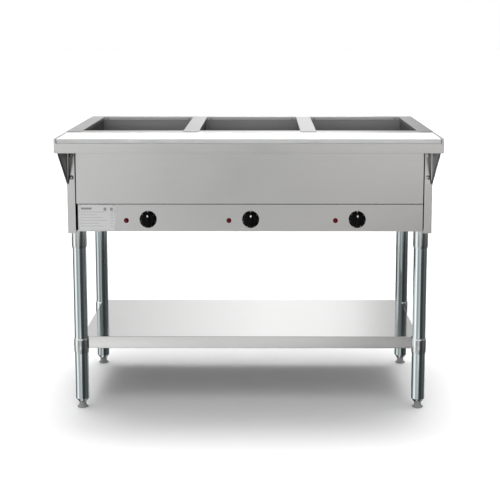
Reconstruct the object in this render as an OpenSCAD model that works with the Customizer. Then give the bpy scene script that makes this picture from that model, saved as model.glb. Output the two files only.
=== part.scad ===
// Three-well electric steam table on four tube legs, with a cutting-board
// shelf along the front and an undershelf between the legs.
// Millimetres. +X to the right, +Y to the back, +Z up.
// The origin is on the floor, under the middle of the unit.

/* [Overall] */
// Width across the deck and the front shelf
unit_w = 1118; // [1105:1:1140]
// Depth from the lip of the front shelf to the back of the deck
unit_d = 826; // [815:1:850]
// Height of the deck above the floor
deck_h = 875; // [850:1:900]

/* [Wells] */
// Width of each pan opening
well_w = 310; // [306:1:314]
// Length of each pan opening, front to back
well_l = 508; // [500:1:512]
// Distance between the centres of neighbouring wells
well_pitch = 358.5; // [357:0.5:360]
// Depth of each well below the deck
well_depth = 190; // [150:1:200]

/* [Body] */
// Depth of the front shelf, from its lip to the front panel
shelf_reach = 205; // [190:1:215]
// Overhang of the deck past each side panel
side_overhang = 3; // [2.5:0.5:5]
// Overhang of the deck past the back panel
back_overhang = 19; // [18:1:24]
// Height of the underside of the body above the floor
body_low = 571; // [560:1:580]
// Height of the seam between the upper front panel and the control panel
seam_z = 656; // [648:1:662]
// Thickness of the steel sheet
sheet_t = 1; // [1:0.1:1.5]

/* [Front shelf] */
// Height of the shelf's front lip
lip_h = 28; // [22:1:32]
// Thickness of the cutting board
board_t = 12.8; // [12:0.1:13]
// Width of the folded rim at each end of the shelf
rim_w = 6; // [5:0.5:8]
// How far down the front posts the shelf brackets reach
bracket_drop = 116; // [100:1:130]

/* [Controls] */
// Half the distance between the left and right knobs
knob_pitch = 319.5; // [310:0.5:330]
// How far the knobs' midpoint stands right of the unit's middle
knob_shift = 9; // [0:1:12]
// How far the middle knob stands left of that midpoint
knob_uneven = 6; // [0:0.5:8]
// Height of the knobs' centres
knob_z = 608; // [602:1:616]
// Diameter of a knob's skirt
knob_d = 52; // [44:1:56]
// Distance from each knob to the indicator lamp on its left
lamp_gap = 66.7; // [60:0.1:80]

/* [Legs] */
// Outer diameter of the leg tubes
leg_d = 41.3; // [38:0.1:42]
// Wall of the leg tubes
leg_wall = 1.6; // [1.2:0.1:2]
// Outer diameter of the sockets and shelf collars
collar_d = 46; // [45.5:0.5:48]
// Distance from the body's outer faces to the leg centres, sideways
leg_inset_x = 26.5; // [25:0.5:30]
// Distance from the body's front and back faces to the leg centres
leg_inset_y = 46; // [44:1:50]

/* [Undershelf] */
// Height of the undershelf's top face
shelf_z = 228; // [200:1:300]
// Height of the lip around the undershelf
shelf_lip = 38; // [32:1:40]

/* [Hidden] */
$fn = 48;

// Finishes
stainless = [0.74, 0.74, 0.73];
galvanised = [0.55, 0.58, 0.58];
zinc = [0.48, 0.49, 0.49];
nylon_white = [0.94, 0.94, 0.93];

// Main planes
t = sheet_t;
half_w = unit_w / 2;
lip_y = -unit_d / 2;
back_y = unit_d / 2;
front_y = lip_y + shelf_reach;
rear_y = back_y - back_overhang;
body_x = half_w - side_overhang;

// Sheets stacked under the deck's top face: strips, rails, liner rims, ledges
strip_z = [deck_h - t, deck_h];
rail_z = [deck_h - 2 * t, deck_h - t];
rim_z = [deck_h - 3 * t, deck_h - 2 * t];
ledge_z = [deck_h - 4 * t, deck_h - 3 * t];

// Wells
well_y = [front_y + 69, front_y + 69 + well_l];
well_x = [-well_pitch, 0, well_pitch];
rim_drop = 10;
liner_gap = 4;
liner_rim = 10;
floor_z = deck_h - well_depth;
strip_lap = 42;
edge_drop = 24;

// Posts and panels
post_w = 24;
panel_x = body_x - post_w - 3;
control_x = [-(body_x - post_w - 7), panel_x];
control_y = front_y + t;
post_tip_z = body_low - 6;
return_d = 15;

// Front shelf
tray_z = deck_h - t - board_t;
tray_low = tray_z - lip_h;
bracket_y = lip_y + 31;
bracket_z = [tray_low - bracket_drop, tray_low];
bracket_flange = 23;
bracket_screw_z = [bracket_z[0] + 20, bracket_z[1] - 28];
screw_x = body_x - 14;
panel_screw_z = [for (i = [0 : 3]) post_tip_z + 30 + i * 75];

// Heating
element_r = 4;
element_z = floor_z + 26;
element_x = 90;
bend_r = 30;

// Controls
switch_x = [knob_shift - knob_pitch, knob_shift - knob_uneven, knob_shift + knob_pitch];
shaft_r = 3;
bushing_r = 5;
knob_gap = 1.2;
knob_l = 26;
lamp_z = knob_z - 3.5;

// Cord entry
gland_x = body_x - 86;
gland_z = body_low + 42;
gland_bore_r = 5.5;
thread_r = 10;

// Legs
leg_r = leg_d / 2;
leg_x = body_x - leg_inset_x;
leg_y = [front_y + leg_inset_y, rear_y - leg_inset_y];
leg_z = [30, body_low - 5];
socket_z = [body_low - 59, body_low - 3];
fit_gap = 0.05;
shelf_x = leg_x - 2;
collar_z = [shelf_z - 52, shelf_z - 3];
stem_r = 11;
stem_top = 70;
insert_top = 76;

// Box between pairs of X, Y and Z limits.
module slab(x, y, z) {
    translate([x[0], y[0], z[0]])
        cube([x[1] - x[0], y[1] - y[0], z[1] - z[0]]);
}

// Child as drawn for the right side, mirrored for the left one.
module on_side(side) {
    if (side > 0) children();
    else mirror([1, 0, 0]) children();
}

// Cylinder that runs towards +Y from y0 to y1.
module rod_y(r, y0, y1) {
    translate([0, y0, 0]) rotate([-90, 0, 0]) cylinder(r = r, h = y1 - y0);
}

// Two small notches that relieve the corners of a well's turned-down rim.
module rim_notches(y) {
    for (cx = well_x) for (side = [-1, 1])
        translate([cx + side * (well_w / 2 - 14), y, deck_h - rim_drop - 1])
            slab([-2.5, 2.5], [-3, 3], [0, 8.5]);
}

// ---- Deck ----

module deck_front_rail() {
    color(stainless) difference() {
        union() {
            slab([-half_w, half_w], [front_y, well_y[0] - strip_lap - 0.5], rail_z);
            slab([-half_w + 2 * t, half_w - 2 * t], [front_y, well_y[0]], rail_z);
            slab([-half_w, half_w], [front_y - t, front_y], [tray_z, rail_z[1]]);
            for (side = [-1, 1]) on_side(side)
                slab([half_w - t, half_w], [front_y, well_y[0] - strip_lap - 0.5],
                     [deck_h - edge_drop, rail_z[1]]);
            for (cx = well_x)
                slab([cx - well_w / 2, cx + well_w / 2], [well_y[0] - t, well_y[0]],
                     [deck_h - rim_drop, rail_z[1]]);
        }
        rim_notches(well_y[0]);
    }
}

module deck_back_rail() {
    color(stainless) difference() {
        union() {
            slab([-half_w, half_w], [well_y[1], back_y], strip_z);
            slab([-half_w, half_w], [back_y - t, back_y], [deck_h - edge_drop, deck_h]);
            for (side = [-1, 1]) on_side(side)
                slab([half_w - t, half_w], [well_y[1], back_y],
                     [deck_h - edge_drop, deck_h]);
            for (cx = well_x)
                slab([cx - well_w / 2, cx + well_w / 2], [well_y[1], well_y[1] + t],
                     [deck_h - rim_drop, deck_h]);
        }
        rim_notches(well_y[1]);
    }
}

module side_strip(side) {
    inner_x = well_pitch + well_w / 2;
    color(stainless) on_side(side) {
        slab([inner_x, half_w], [well_y[0] - strip_lap, well_y[1] - 1], strip_z);
        slab([half_w - t, half_w], [well_y[0] - strip_lap, well_y[1] - 1],
             [deck_h - edge_drop, deck_h]);
        slab([inner_x, inner_x + t], [well_y[0] + 1, well_y[1] - 1],
             [deck_h - rim_drop, deck_h]);
    }
}

module divider(side) {
    edge = (well_pitch - well_w) / 2;
    color(stainless) translate([side * well_pitch / 2, 0, 0]) {
        slab([-edge, edge], [well_y[0] - strip_lap, well_y[1] - 1], strip_z);
        for (turn = [-1, 1]) on_side(turn)
            slab([edge - t, edge], [well_y[0] + 1, well_y[1] - 1],
                 [deck_h - rim_drop, deck_h]);
    }
}

// Inverted channels that carry the dividers. Their ends step down, so that they
// reach the front and back panels under the ledges.
module divider_channels() {
    half = 8.4;
    low = ledge_z[0] - 25;
    color(galvanised) for (side = [-1, 1])
        translate([side * well_pitch / 2, 0, 0]) difference() {
            union() {
                slab([-half, half], [front_y + t, rear_y - t], [low, ledge_z[0]]);
                slab([-half, half], [well_y[0] + 0.5, well_y[1] + 6], [low, strip_z[0]]);
            }
            slab([-half + t, half - t], [front_y, rear_y], [low - 1, ledge_z[0] - t]);
            slab([-half + t, half - t], [well_y[0] + 0.5 + t, well_y[1] + 6 - t],
                 [low, strip_z[0] - t]);
        }
}

// ---- Body panels ----

module front_panel() {
    color(stainless) {
        slab([-panel_x, panel_x], [front_y, front_y + t], [seam_z, rail_z[0]]);
        slab([-panel_x, panel_x], [front_y, well_y[0] - 7], ledge_z);
        slab([-panel_x, panel_x], [front_y, front_y + 12], [seam_z, seam_z + t]);
        for (side = [-1, 1]) on_side(side)
            slab([panel_x - t, panel_x], [front_y, front_y + return_d],
                 [seam_z, ledge_z[1]]);
    }
}

module control_panel() {
    color(stainless) difference() {
        union() {
            slab(control_x, [control_y, control_y + t], [body_low, seam_z - 2]);
            slab(control_x, [control_y, control_y + 20], [body_low, body_low + t]);
            for (x = [control_x[0], control_x[1] - t])
                slab([x, x + t], [control_y, control_y + 20], [body_low, seam_z - 2]);
        }
        for (x = switch_x) {
            translate([x, 0, knob_z]) rod_y(bushing_r + 0.2, control_y - 1, control_y + 2 * t);
            translate([x - lamp_gap, 0, lamp_z]) rod_y(5.2, control_y - 1, control_y + 2 * t);
        }
    }
}

module side_panel(side) {
    inner_x = body_x - post_w;
    color(stainless) on_side(side) difference() {
        union() {
            slab([body_x - t, body_x], [front_y, rear_y], [post_tip_z, rail_z[0]]);
            slab([inner_x, body_x], [front_y, front_y + t], [post_tip_z, rail_z[0]]);
            slab([inner_x, inner_x + t], [front_y, front_y + return_d],
                 [post_tip_z, ledge_z[1]]);
            slab([inner_x, body_x - t], [rear_y - 2 * t, rear_y - t],
                 [post_tip_z, ledge_z[0] - t]);
            slab([well_pitch + well_w / 2 + 7, body_x], [well_y[0] - 6.5, rear_y - 2 * t],
                 ledge_z);
        }
        for (z = bracket_screw_z)
            translate([screw_x, 0, z]) rod_y(2.6, front_y - 1, front_y + 2 * t);
        for (z = panel_screw_z)
            translate([screw_x, 0, z]) rod_y(2.1, rear_y - 3 * t, rear_y);
    }
}

module back_panel() {
    inner_x = body_x - t;
    ledge_x = well_pitch + well_w / 2 + 6;
    color(stainless) difference() {
        union() {
            slab([-inner_x, inner_x], [rear_y - t, rear_y], [post_tip_z, strip_z[0]]);
            slab([-ledge_x, ledge_x], [well_y[1] + 7, rear_y], ledge_z);
        }
        translate([gland_x, 0, gland_z]) rod_y(thread_r + 0.1, rear_y - 3 * t, rear_y + 1);
        for (side = [-1, 1], z = panel_screw_z)
            translate([side * screw_x, 0, z]) rod_y(2.1, rear_y - 3 * t, rear_y + 1);
    }
}

module bottom_panel() {
    inner_x = body_x - t;
    y0 = control_y + 21;
    y1 = rear_y - 3 * t;
    color(stainless) {
        slab([-inner_x, inner_x], [y0, y1], [body_low, body_low + t]);
        for (side = [-1, 1]) on_side(side)
            slab([inner_x - t, inner_x], [y0, y1], [body_low, body_low + 16]);
        slab([-inner_x, inner_x], [y1 - t, y1], [body_low, body_low + 16]);
    }
}

// ---- Front shelf ----

module shelf_tray() {
    inner_x = half_w - rim_w;
    color(stainless) {
        slab([-inner_x, inner_x], [lip_y, front_y - t], [tray_z - t, tray_z]);
        slab([-inner_x, inner_x], [lip_y, lip_y + t], [tray_low, tray_z]);
        slab([-inner_x, inner_x], [lip_y, lip_y + 12], [tray_low, tray_low + t]);
        slab([-panel_x, panel_x], [front_y - t, front_y], [tray_low, tray_z]);
        for (side = [-1, 1]) on_side(side) difference() {
            slab([inner_x, half_w], [lip_y, front_y - t], [tray_low, deck_h]);
            slab([inner_x + t, half_w - t], [lip_y + t, front_y], [tray_low - 1, deck_h - t]);
        }
    }
}

// Triangular web that slides up into the folded rim of the tray, a flange that
// screws to the front post, and a narrow fold along the sloping edge.
module shelf_bracket(side) {
    web_t = 1.5;
    fold = 6;
    color(stainless) on_side(side) difference() {
        union() {
            translate([body_x - web_t, 0, 0]) rotate([90, 0, 90]) linear_extrude(web_t)
                polygon([[front_y, bracket_z[0]], [front_y, tray_z],
                         [bracket_y, tray_z], [bracket_y, bracket_z[1]]]);
            slab([body_x - bracket_flange, body_x], [front_y - web_t, front_y], bracket_z);
            translate([body_x - fold, 0, 0]) rotate([90, 0, 90]) linear_extrude(fold)
                polygon([[front_y - 2, bracket_z[0]], [front_y, bracket_z[0]],
                         [bracket_y + 2, bracket_z[1]], [bracket_y, bracket_z[1]]]);
        }
        for (z = bracket_screw_z)
            translate([screw_x, 0, z]) rod_y(2.6, front_y - 3, front_y + 1);
    }
}

// Round-head screw whose head points to -Y; its shank starts at y = 0.
module front_screw(head_r, shank_r, shank_l) {
    rotate([90, 0, 0]) intersection() {
        translate([0, 0, -head_r * 0.55]) sphere(r = head_r * 1.14);
        cylinder(r = head_r, h = head_r);
    }
    rod_y(shank_r, 0, shank_l);
}

module bracket_screws() {
    color(stainless) for (side = [-1, 1], z = bracket_screw_z)
        translate([side * screw_x, front_y - 1.5, z]) front_screw(7, 2.5, 9);
}

// ---- Wells ----

module well_liner(cx) {
    x1 = well_w / 2 + liner_gap;
    y0 = well_y[0] - liner_gap;
    y1 = well_y[1] + liner_gap;
    color(galvanised) translate([cx, 0, 0]) difference() {
        union() {
            slab([-x1 - t, x1 + t], [y0 - t, y1 + t], [floor_z, rim_z[1]]);
            slab([-x1 - t - liner_rim, x1 + t + liner_rim],
                 [y0 - t - liner_rim, y1 + t + liner_rim], rim_z);
        }
        slab([-x1, x1], [y0, y1], [floor_z + t, deck_h]);
        for (side = [-1, 1])
            translate([side * element_x, 0, element_z])
                rod_y(element_r + 0.1, y0 - 2 * t, y0 + t);
    }
}

// Sheathed element: two leads through the front wall and three round bends.
module heating_element(cx) {
    lead_y = well_y[0] - 34;
    near_y = well_y[0] + 60;
    far_y = well_y[1] - 60;
    color([0.33, 0.33, 0.34]) translate([cx, 0, element_z]) {
        for (side = [-1, 1]) {
            translate([side * element_x, 0, 0]) rod_y(element_r, lead_y, far_y);
            translate([side * element_x, 0, 0]) rod_y(2, lead_y - 10, lead_y);
            translate([side * bend_r, 0, 0]) rod_y(element_r, near_y, far_y);
            translate([side * 2 * bend_r, far_y, 0])
                rotate_extrude(angle = 180) translate([bend_r, 0]) circle(r = element_r);
        }
        translate([0, near_y, 0]) rotate([0, 0, 180])
            rotate_extrude(angle = 180) translate([bend_r, 0]) circle(r = element_r);
    }
}

// Upright notched bars that hold the elements off the well floors.
module element_supports() {
    bar_x = element_x + 14;
    color([0.6, 0.6, 0.6]) for (cx = well_x, y = [well_y[0] + 110, well_y[1] - 110])
        translate([cx, y, 0]) difference() {
            slab([-bar_x, bar_x], [-1.5, 1.5], [floor_z + t, element_z + 2]);
            for (x = [-element_x, -bend_r, bend_r, element_x])
                translate([x, 0, element_z]) {
                    rod_y(element_r + 0.1, -3, 3);
                    slab([-element_r - 0.1, element_r + 0.1], [-3, 3], [0, 6]);
                }
        }
}

module well_insulation() {
    wall = 12;
    x1 = well_w / 2 + liner_gap + t;
    y0 = well_y[0] - liner_gap - t;
    y1 = well_y[1] + liner_gap + t;
    color([0.85, 0.8, 0.55]) for (cx = well_x)
        translate([cx, 0, 0]) difference() {
            slab([-x1 - wall, x1 + wall], [y0 - wall, y1 + wall],
                 [floor_z - wall, deck_h - 40]);
            slab([-x1, x1], [y0, y1], [floor_z, deck_h]);
            for (side = [-1, 1])
                translate([side * element_x, 0, element_z])
                    rod_y(element_r + 1, y0 - wall - 1, y0 + 1);
        }
}

// ---- Controls and wiring ----

module heat_switch(x) {
    body_y = [control_y + t + 2, control_y + t + 40];
    color([0.25, 0.24, 0.22]) translate([x, 0, knob_z]) difference() {
        union() {
            slab([-23, 23], body_y, [-21, 21]);
            rod_y(bushing_r, control_y - 0.8, body_y[0]);
            for (side = [-1, 1], z = [-12, 0, 12])
                slab([side * 12 - 3, side * 12 + 3], [body_y[1], body_y[1] + 8],
                     [z - 0.4, z + 0.4]);
        }
        rod_y(shaft_r + fit_gap, control_y - 2, control_y + 32);
    }
}

module knob_shaft(x) {
    color([0.7, 0.7, 0.7]) translate([x, 0, knob_z])
        rod_y(shaft_r, control_y - 20, control_y + 31);
}

// Skirt, grip and finger bar; the bar points up, to OFF.
module knob(x) {
    back = control_y - knob_gap;
    skirt_r = knob_d / 2;
    color([0.05, 0.05, 0.05]) translate([x, 0, knob_z]) difference() {
        union() {
            rod_y(skirt_r, back - 5, back);
            rod_y(skirt_r - 5, back - 12, back - 5);
            intersection() {
                slab([-6, 6], [back - knob_l, back - 11], [-skirt_r, skirt_r]);
                rod_y(skirt_r - 5, back - knob_l, back - 11);
            }
        }
        rod_y(shaft_r + fit_gap, control_y - 21, back + 1);
        translate([0, 0, skirt_r - 4]) slab([-1.2, 1.2], [back - 6, back - 4.4], [0, 6]);
    }
}

module indicator_lamp(x) {
    color([0.45, 0.05, 0.06]) translate([x - lamp_gap, 0, lamp_z]) {
        rod_y(7.7, control_y - 3, control_y);
        rod_y(5, control_y - 6, control_y - 3);
        rod_y(5, control_y, control_y + 26);
    }
}

module terminal_block() {
    color([0.85, 0.85, 0.8]) translate([gland_x, rear_y - 85, body_low + t])
        difference() {
            slab([-30, 30], [-14, 14], [0, 22]);
            for (x = [-20, 0, 20]) translate([x, 0, 12]) cylinder(r = 3, h = 20);
        }
}

// Wire run of eight flats from point a, for a length along one axis (0, 1 or 2),
// let past both ends by its radius so that runs meet at their corners.
module wire(a, axis, length, r) {
    turn = axis == 0 ? [0, 90, 0] : axis == 1 ? [-90, 0, 0] : [0, 0, 0];
    way = length < 0 ? -1 : 1;
    translate(a) rotate(turn) translate([0, 0, min(0, length) - r])
        rotate([0, 0, 22.5]) cylinder(r = r, h = way * length + 2 * r, $fn = 8);
}

// Trunk from the terminal block to the front, then a branch to each switch,
// each lamp and each heating element.
module wiring_harness() {
    low = body_low + t + 6;
    spine_y = control_y + 64;
    block_y = rear_y - 85;
    trunk_x = gland_x - 42;
    end_x = well_x[2] + element_x;
    under_z = floor_z - 30;
    lead_y = well_y[0] - 47;
    trunk = 4;
    branch = 2;
    color([0.75, 0.35, 0.15]) {
        wire([trunk_x, block_y, low], 0, 8, trunk);
        wire([trunk_x, spine_y, low], 1, block_y - spine_y, trunk);
        wire([-end_x, spine_y, low], 0, 2 * end_x, trunk);
        for (i = [0 : 2]) {
            x = switch_x[i];
            wire([x, spine_y, low], 2, knob_z - low, branch);
            wire([x, spine_y, knob_z], 1, control_y + t + 43 - spine_y, branch);
            wire([x - lamp_gap, spine_y, low], 2, lamp_z - low, branch);
            wire([x - lamp_gap, spine_y, lamp_z], 1, control_y + 29 - spine_y, branch);
            for (side = [-1, 1]) {
                lead_x = well_x[i] + side * element_x;
                wire([lead_x, spine_y, low], 2, under_z - low, branch);
                wire([lead_x, spine_y, under_z], 1, lead_y - spine_y, branch);
                wire([lead_x, lead_y, under_z], 2, element_z - under_z, branch);
            }
        }
    }
}

// Clamping cord entry: hexagon and dome outside, lock nut inside, bore through.
module cord_gland() {
    color([0.12, 0.12, 0.12]) translate([gland_x, 0, gland_z]) difference() {
        union() {
            rod_y(thread_r, rear_y - 12, rear_y + 1);
            translate([0, rear_y, 0]) rotate([-90, 0, 0]) cylinder(r = 14, h = 6, $fn = 6);
            rod_y(12, rear_y + 6, rear_y + 13);
            rod_y(9.5, rear_y + 13, rear_y + 16);
            translate([0, rear_y - t - 5, 0]) rotate([-90, 0, 0])
                cylinder(r = 15, h = 5, $fn = 6);
        }
        rod_y(gland_bore_r, rear_y - 13, rear_y + 17);
    }
}

module rating_label() {
    x0 = control_x[0] + 4;
    color([0.8, 0.8, 0.8])
        slab([x0, x0 + 109], [control_y - 0.4, control_y], [body_low + 3, seam_z - 3]);
}

// Screws that hold the back panel to the flanges of the side panels.
module panel_screws() {
    color(stainless) for (side = [-1, 1], z = panel_screw_z)
        translate([side * screw_x, rear_y, z]) rotate([0, 0, 180]) front_screw(4.5, 2, 4);
}

// ---- Legs and undershelf ----

// Ring with an outer radius that narrows over its lowest and, if wanted, highest part.
module collar(z, taper_top) {
    r = collar_d / 2;
    slim = leg_r + 0.9;
    rotate_extrude() polygon([
        [leg_r + fit_gap, z[0]], [slim, z[0]], [r, z[0] + 7],
        [r, taper_top ? z[1] - 6 : z[1]], [taper_top ? slim : r, z[1]],
        [leg_r + fit_gap, z[1]]
    ]);
}

// Leg socket under a corner gusset, drawn for the right side.
module leg_socket(side, row) {
    y = leg_y[row];
    inward = row == 0 ? 1 : -1;
    reach = 96;
    edge_x = body_x - 2 * t;
    edge_y = inward > 0 ? front_y + return_d + 0.5 : rear_y - 2 * t - 1;
    color(zinc) on_side(side) {
        translate([leg_x, y, 0]) difference() {
            collar(socket_z, false);
            translate([0, 0, socket_z[0] + 24]) rotate([0, -90, 0])
                cylinder(r = 4, h = collar_d);
        }
        translate([0, 0, socket_z[1]]) linear_extrude(3)
            polygon([[edge_x, edge_y], [edge_x - reach, edge_y],
                     [edge_x - reach, edge_y + inward * 20],
                     [edge_x - 20, edge_y + inward * reach],
                     [edge_x, edge_y + inward * reach]]);
    }
}

module leg(side, row) {
    color(galvanised) translate([side * leg_x, leg_y[row], 0]) difference() {
        translate([0, 0, leg_z[0]]) cylinder(r = leg_r, h = leg_z[1] - leg_z[0]);
        translate([0, 0, leg_z[0] - 1])
            cylinder(r = leg_r - leg_wall, h = leg_z[1] - leg_z[0] + 2);
    }
}

// Folded shelf: top, lip all round, inward hem, and a round bite at each leg.
module undershelf() {
    low = shelf_z - shelf_lip;
    hem = 12;
    y = leg_y;
    color(stainless) difference() {
        slab([-shelf_x, shelf_x], y, [low, shelf_z]);
        slab([-shelf_x + t, shelf_x - t], [y[0] + t, y[1] - t], [low + t, shelf_z - t]);
        slab([-shelf_x + hem, shelf_x - hem], [y[0] + hem, y[1] - hem],
             [low - 1, low + 2 * t]);
        for (side = [-1, 1], leg_row = y)
            translate([side * leg_x, leg_row, low - 1])
                cylinder(r = collar_d / 2 + fit_gap, h = shelf_lip + 2);
    }
}

// Hat channel welded under the shelf, along its middle.
module shelf_stiffener() {
    mid_y = (leg_y[0] + leg_y[1]) / 2;
    top = shelf_z - t;
    long = shelf_x - 40;
    color(galvanised) difference() {
        union() {
            slab([-long, long], [mid_y - 32, mid_y + 32], [top - 28, top]);
            slab([-long, long], [mid_y - 50, mid_y + 50], [top - t, top]);
        }
        slab([-long - 1, long + 1], [mid_y - 32 + t, mid_y + 32 - t], [top - 28 + t, top + 1]);
    }
}

module shelf_collars() {
    color(zinc) for (side = [-1, 1], y = leg_y)
        translate([side * leg_x, y, 0]) on_side(side) difference() {
            collar(collar_z, true);
            translate([0, 0, collar_z[0] + 24]) rotate([0, 90, 0])
                cylinder(r = 4, h = collar_d);
        }
}

// Cup-point screws: the sockets' face inwards and the shelf collars' face outwards.
module leg_set_screws() {
    screw_l = collar_d / 2 - leg_r - 0.2;
    color([0.2, 0.2, 0.2]) for (side = [-1, 1], y = leg_y)
        translate([side * leg_x, y, 0]) on_side(side) {
            translate([-leg_r - 0.1 - screw_l, 0, socket_z[0] + 24]) rotate([0, 90, 0])
                cylinder(r = 3.9, h = screw_l);
            translate([leg_r + 0.1, 0, collar_z[0] + 24]) rotate([0, 90, 0])
                cylinder(r = 3.9, h = screw_l);
        }
}

// Plug in the foot of each leg, with the running bore for the foot's stem.
module leg_inserts() {
    color(zinc) for (side = [-1, 1], y = leg_y)
        translate([side * leg_x, y, 0]) rotate_extrude() polygon([
            [stem_r + fit_gap, leg_z[0] - 10], [stem_r + 2.5, leg_z[0] - 10],
            [leg_r - 4, leg_z[0] - 5.5], [leg_r, leg_z[0]],
            [leg_r - leg_wall - fit_gap, leg_z[0]],
            [leg_r - leg_wall - fit_gap, insert_top], [stem_r + fit_gap, insert_top]
        ]);
}

module foot(side, row) {
    color(zinc) translate([side * leg_x, leg_y[row], 0]) rotate_extrude() polygon([
        [0, 0], [15.5, 0], [17, 1.5], [17, 3], [13.5, 5], [11.8, 7], [stem_r, 9],
        [stem_r, stem_top - 2], [stem_r - 2, stem_top], [0, stem_top]
    ]);
}

module cutting_board() {
    x1 = half_w - rim_w - 1;
    r = 4;
    color(nylon_white) difference() {
        slab([-x1, x1], [lip_y + 0.6, front_y - t - 1], [tray_z, tray_z + board_t]);
        for (side = [-1, 1]) on_side(side)
            translate([x1 - r, lip_y + 0.6 + r, tray_z - 1]) difference() {
                slab([0, r + 1], [-r - 1, 0], [0, board_t + 2]);
                cylinder(r = r, h = board_t + 3);
            }
    }
}

deck_front_rail();
deck_back_rail();
side_strip(-1);  // deck_side_strip_left
side_strip(1);  // deck_side_strip_right
divider(-1);  // deck_divider_left
divider(1);  // deck_divider_right
divider_channels();
front_panel();
control_panel();
side_panel(-1);  // side_panel_left
side_panel(1);  // side_panel_right
back_panel();
bottom_panel();
shelf_tray();
shelf_bracket(-1);  // shelf_bracket_left
shelf_bracket(1);  // shelf_bracket_right
bracket_screws();
well_liner(well_x[0]);  // well_liner_left
well_liner(well_x[1]);  // well_liner_middle
well_liner(well_x[2]);  // well_liner_right
heating_element(well_x[0]);  // heating_element_left
heating_element(well_x[1]);  // heating_element_middle
heating_element(well_x[2]);  // heating_element_right
element_supports();
well_insulation();
heat_switch(switch_x[0]);  // heat_switch_left
heat_switch(switch_x[1]);  // heat_switch_middle
heat_switch(switch_x[2]);  // heat_switch_right
indicator_lamp(switch_x[0]);  // indicator_lamp_left
indicator_lamp(switch_x[1]);  // indicator_lamp_middle
indicator_lamp(switch_x[2]);  // indicator_lamp_right
terminal_block();
wiring_harness();
cord_gland();
rating_label();
panel_screws();
leg_socket(-1, 0);  // leg_socket_front_left
leg_socket(1, 0);  // leg_socket_front_right
leg_socket(-1, 1);  // leg_socket_back_left
leg_socket(1, 1);  // leg_socket_back_right
leg(-1, 0);  // leg_front_left
leg(1, 0);  // leg_front_right
leg(-1, 1);  // leg_back_left
leg(1, 1);  // leg_back_right
undershelf();
shelf_stiffener();
shelf_collars();
leg_set_screws();
leg_inserts();
foot(-1, 0);  // foot_front_left
foot(1, 0);  // foot_front_right
foot(-1, 1);  // foot_back_left
foot(1, 1);  // foot_back_right
knob(switch_x[0]);  // knob_left
knob(switch_x[1]);  // knob_middle
knob(switch_x[2]);  // knob_right
knob_shaft(switch_x[0]);  // knob_shaft_left
knob_shaft(switch_x[1]);  // knob_shaft_middle
knob_shaft(switch_x[2]);  // knob_shaft_right
cutting_board();
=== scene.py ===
import math

import bmesh
import bpy
from mathutils import Matrix, Vector


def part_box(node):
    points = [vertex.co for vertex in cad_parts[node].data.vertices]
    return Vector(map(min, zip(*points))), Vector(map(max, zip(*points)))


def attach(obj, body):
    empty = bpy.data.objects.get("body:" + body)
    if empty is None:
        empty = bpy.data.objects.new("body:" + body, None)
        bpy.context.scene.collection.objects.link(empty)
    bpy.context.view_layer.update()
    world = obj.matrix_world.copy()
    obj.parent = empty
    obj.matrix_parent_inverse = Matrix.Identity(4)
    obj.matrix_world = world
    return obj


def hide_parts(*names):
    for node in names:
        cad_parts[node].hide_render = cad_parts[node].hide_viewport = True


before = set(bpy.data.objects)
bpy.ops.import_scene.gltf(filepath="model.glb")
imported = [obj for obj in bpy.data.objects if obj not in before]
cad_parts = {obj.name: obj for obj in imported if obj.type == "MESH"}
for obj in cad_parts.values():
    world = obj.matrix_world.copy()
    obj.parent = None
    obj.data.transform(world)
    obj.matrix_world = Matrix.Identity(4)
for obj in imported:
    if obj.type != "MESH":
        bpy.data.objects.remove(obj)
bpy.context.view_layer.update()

# The three-well steam table: formed sheet-metal pieces, turned and moulded parts and
# their finishes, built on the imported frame. Metres throughout, in the frame's own axes.

SIDES = ("left", "right")
ROWS = ("front", "back")
WELLS = ("left", "middle", "right")

# Bend and edge radii, and the share of a bend's radius that other edges get
FOLD_R = 0.0016
DECK_FOLD_R = 0.0027
BRACKET_BEND_R = 0.003
CAST_R = 0.0007
BOARD_R = 0.0015
RIM_SHARE = 0.16
INSIDE_SHARE = 0.35

# An edge is sharper than this, a sheet's cut edge narrower and a bracket's corner longer
EDGE_ANGLE = math.radians(24)
RIM_WIDTH = 0.0021
BRACKET_CORNER_L = 0.05

# Legs: tube wall; set screws' distance from the leg's axis, height above the lower end
# of the socket or collar, radius and length
TUBE_WALL = 0.0016
SET_SCREW_AT = 0.02075
SET_SCREW_UP = 0.024
SET_SCREW_R = 0.0039
SET_SCREW_L = 0.0021

# Unit vectors
ALONG_X = (1, 0, 0)
ALONG_Y = (0, 1, 0)
ALONG_Z = (0, 0, 1)


# ---- Node-tree helper ----

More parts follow.
